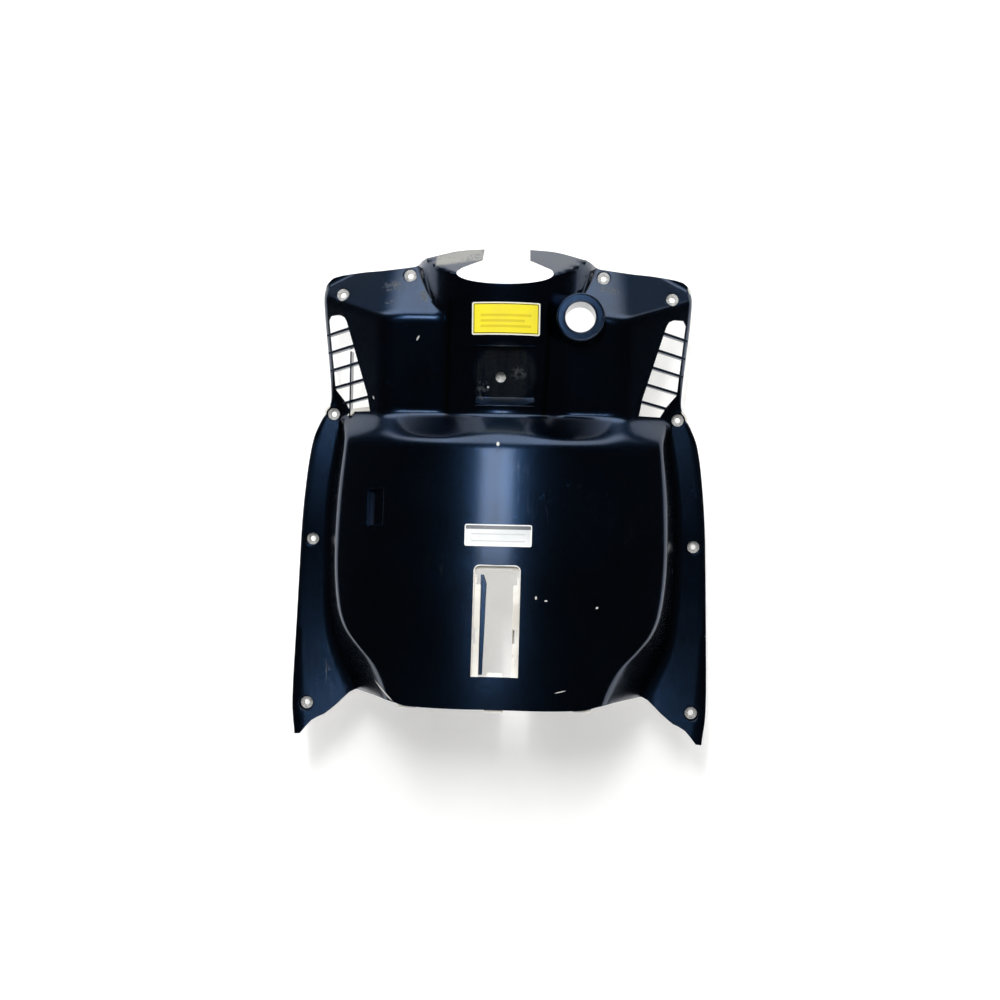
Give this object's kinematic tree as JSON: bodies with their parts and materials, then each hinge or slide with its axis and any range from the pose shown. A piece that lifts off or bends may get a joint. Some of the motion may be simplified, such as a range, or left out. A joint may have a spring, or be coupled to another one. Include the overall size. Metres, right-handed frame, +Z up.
{
  "type": "scooter inner panel",
  "caption": "Inner leg shield panel of a scooter: a bulged glossy plastic sheet with horns round the steering column, vented wings, a lock boss, a hook recess and a service slot.",
  "frame": {"origin": "midway between the axes of the two middle screw holes, in the middle of the wall they go through", "axes": "+X to the rider's right, +Y forwards into the panel, away from the rider, +Z up along the panel"},
  "size_m": [0.4082, 0.1477, 0.479],
  "materials": {
    "paint": "glossy dark navy metallic lacquer, worn",
    "yellow_film": "printed film",
    "pale_film": "printed film"
  },
  "bodies": {
    "root": {"inner_panel": "paint", "neck_label": "yellow_film", "slot_label": "pale_film"}
  },
  "joints": []
}
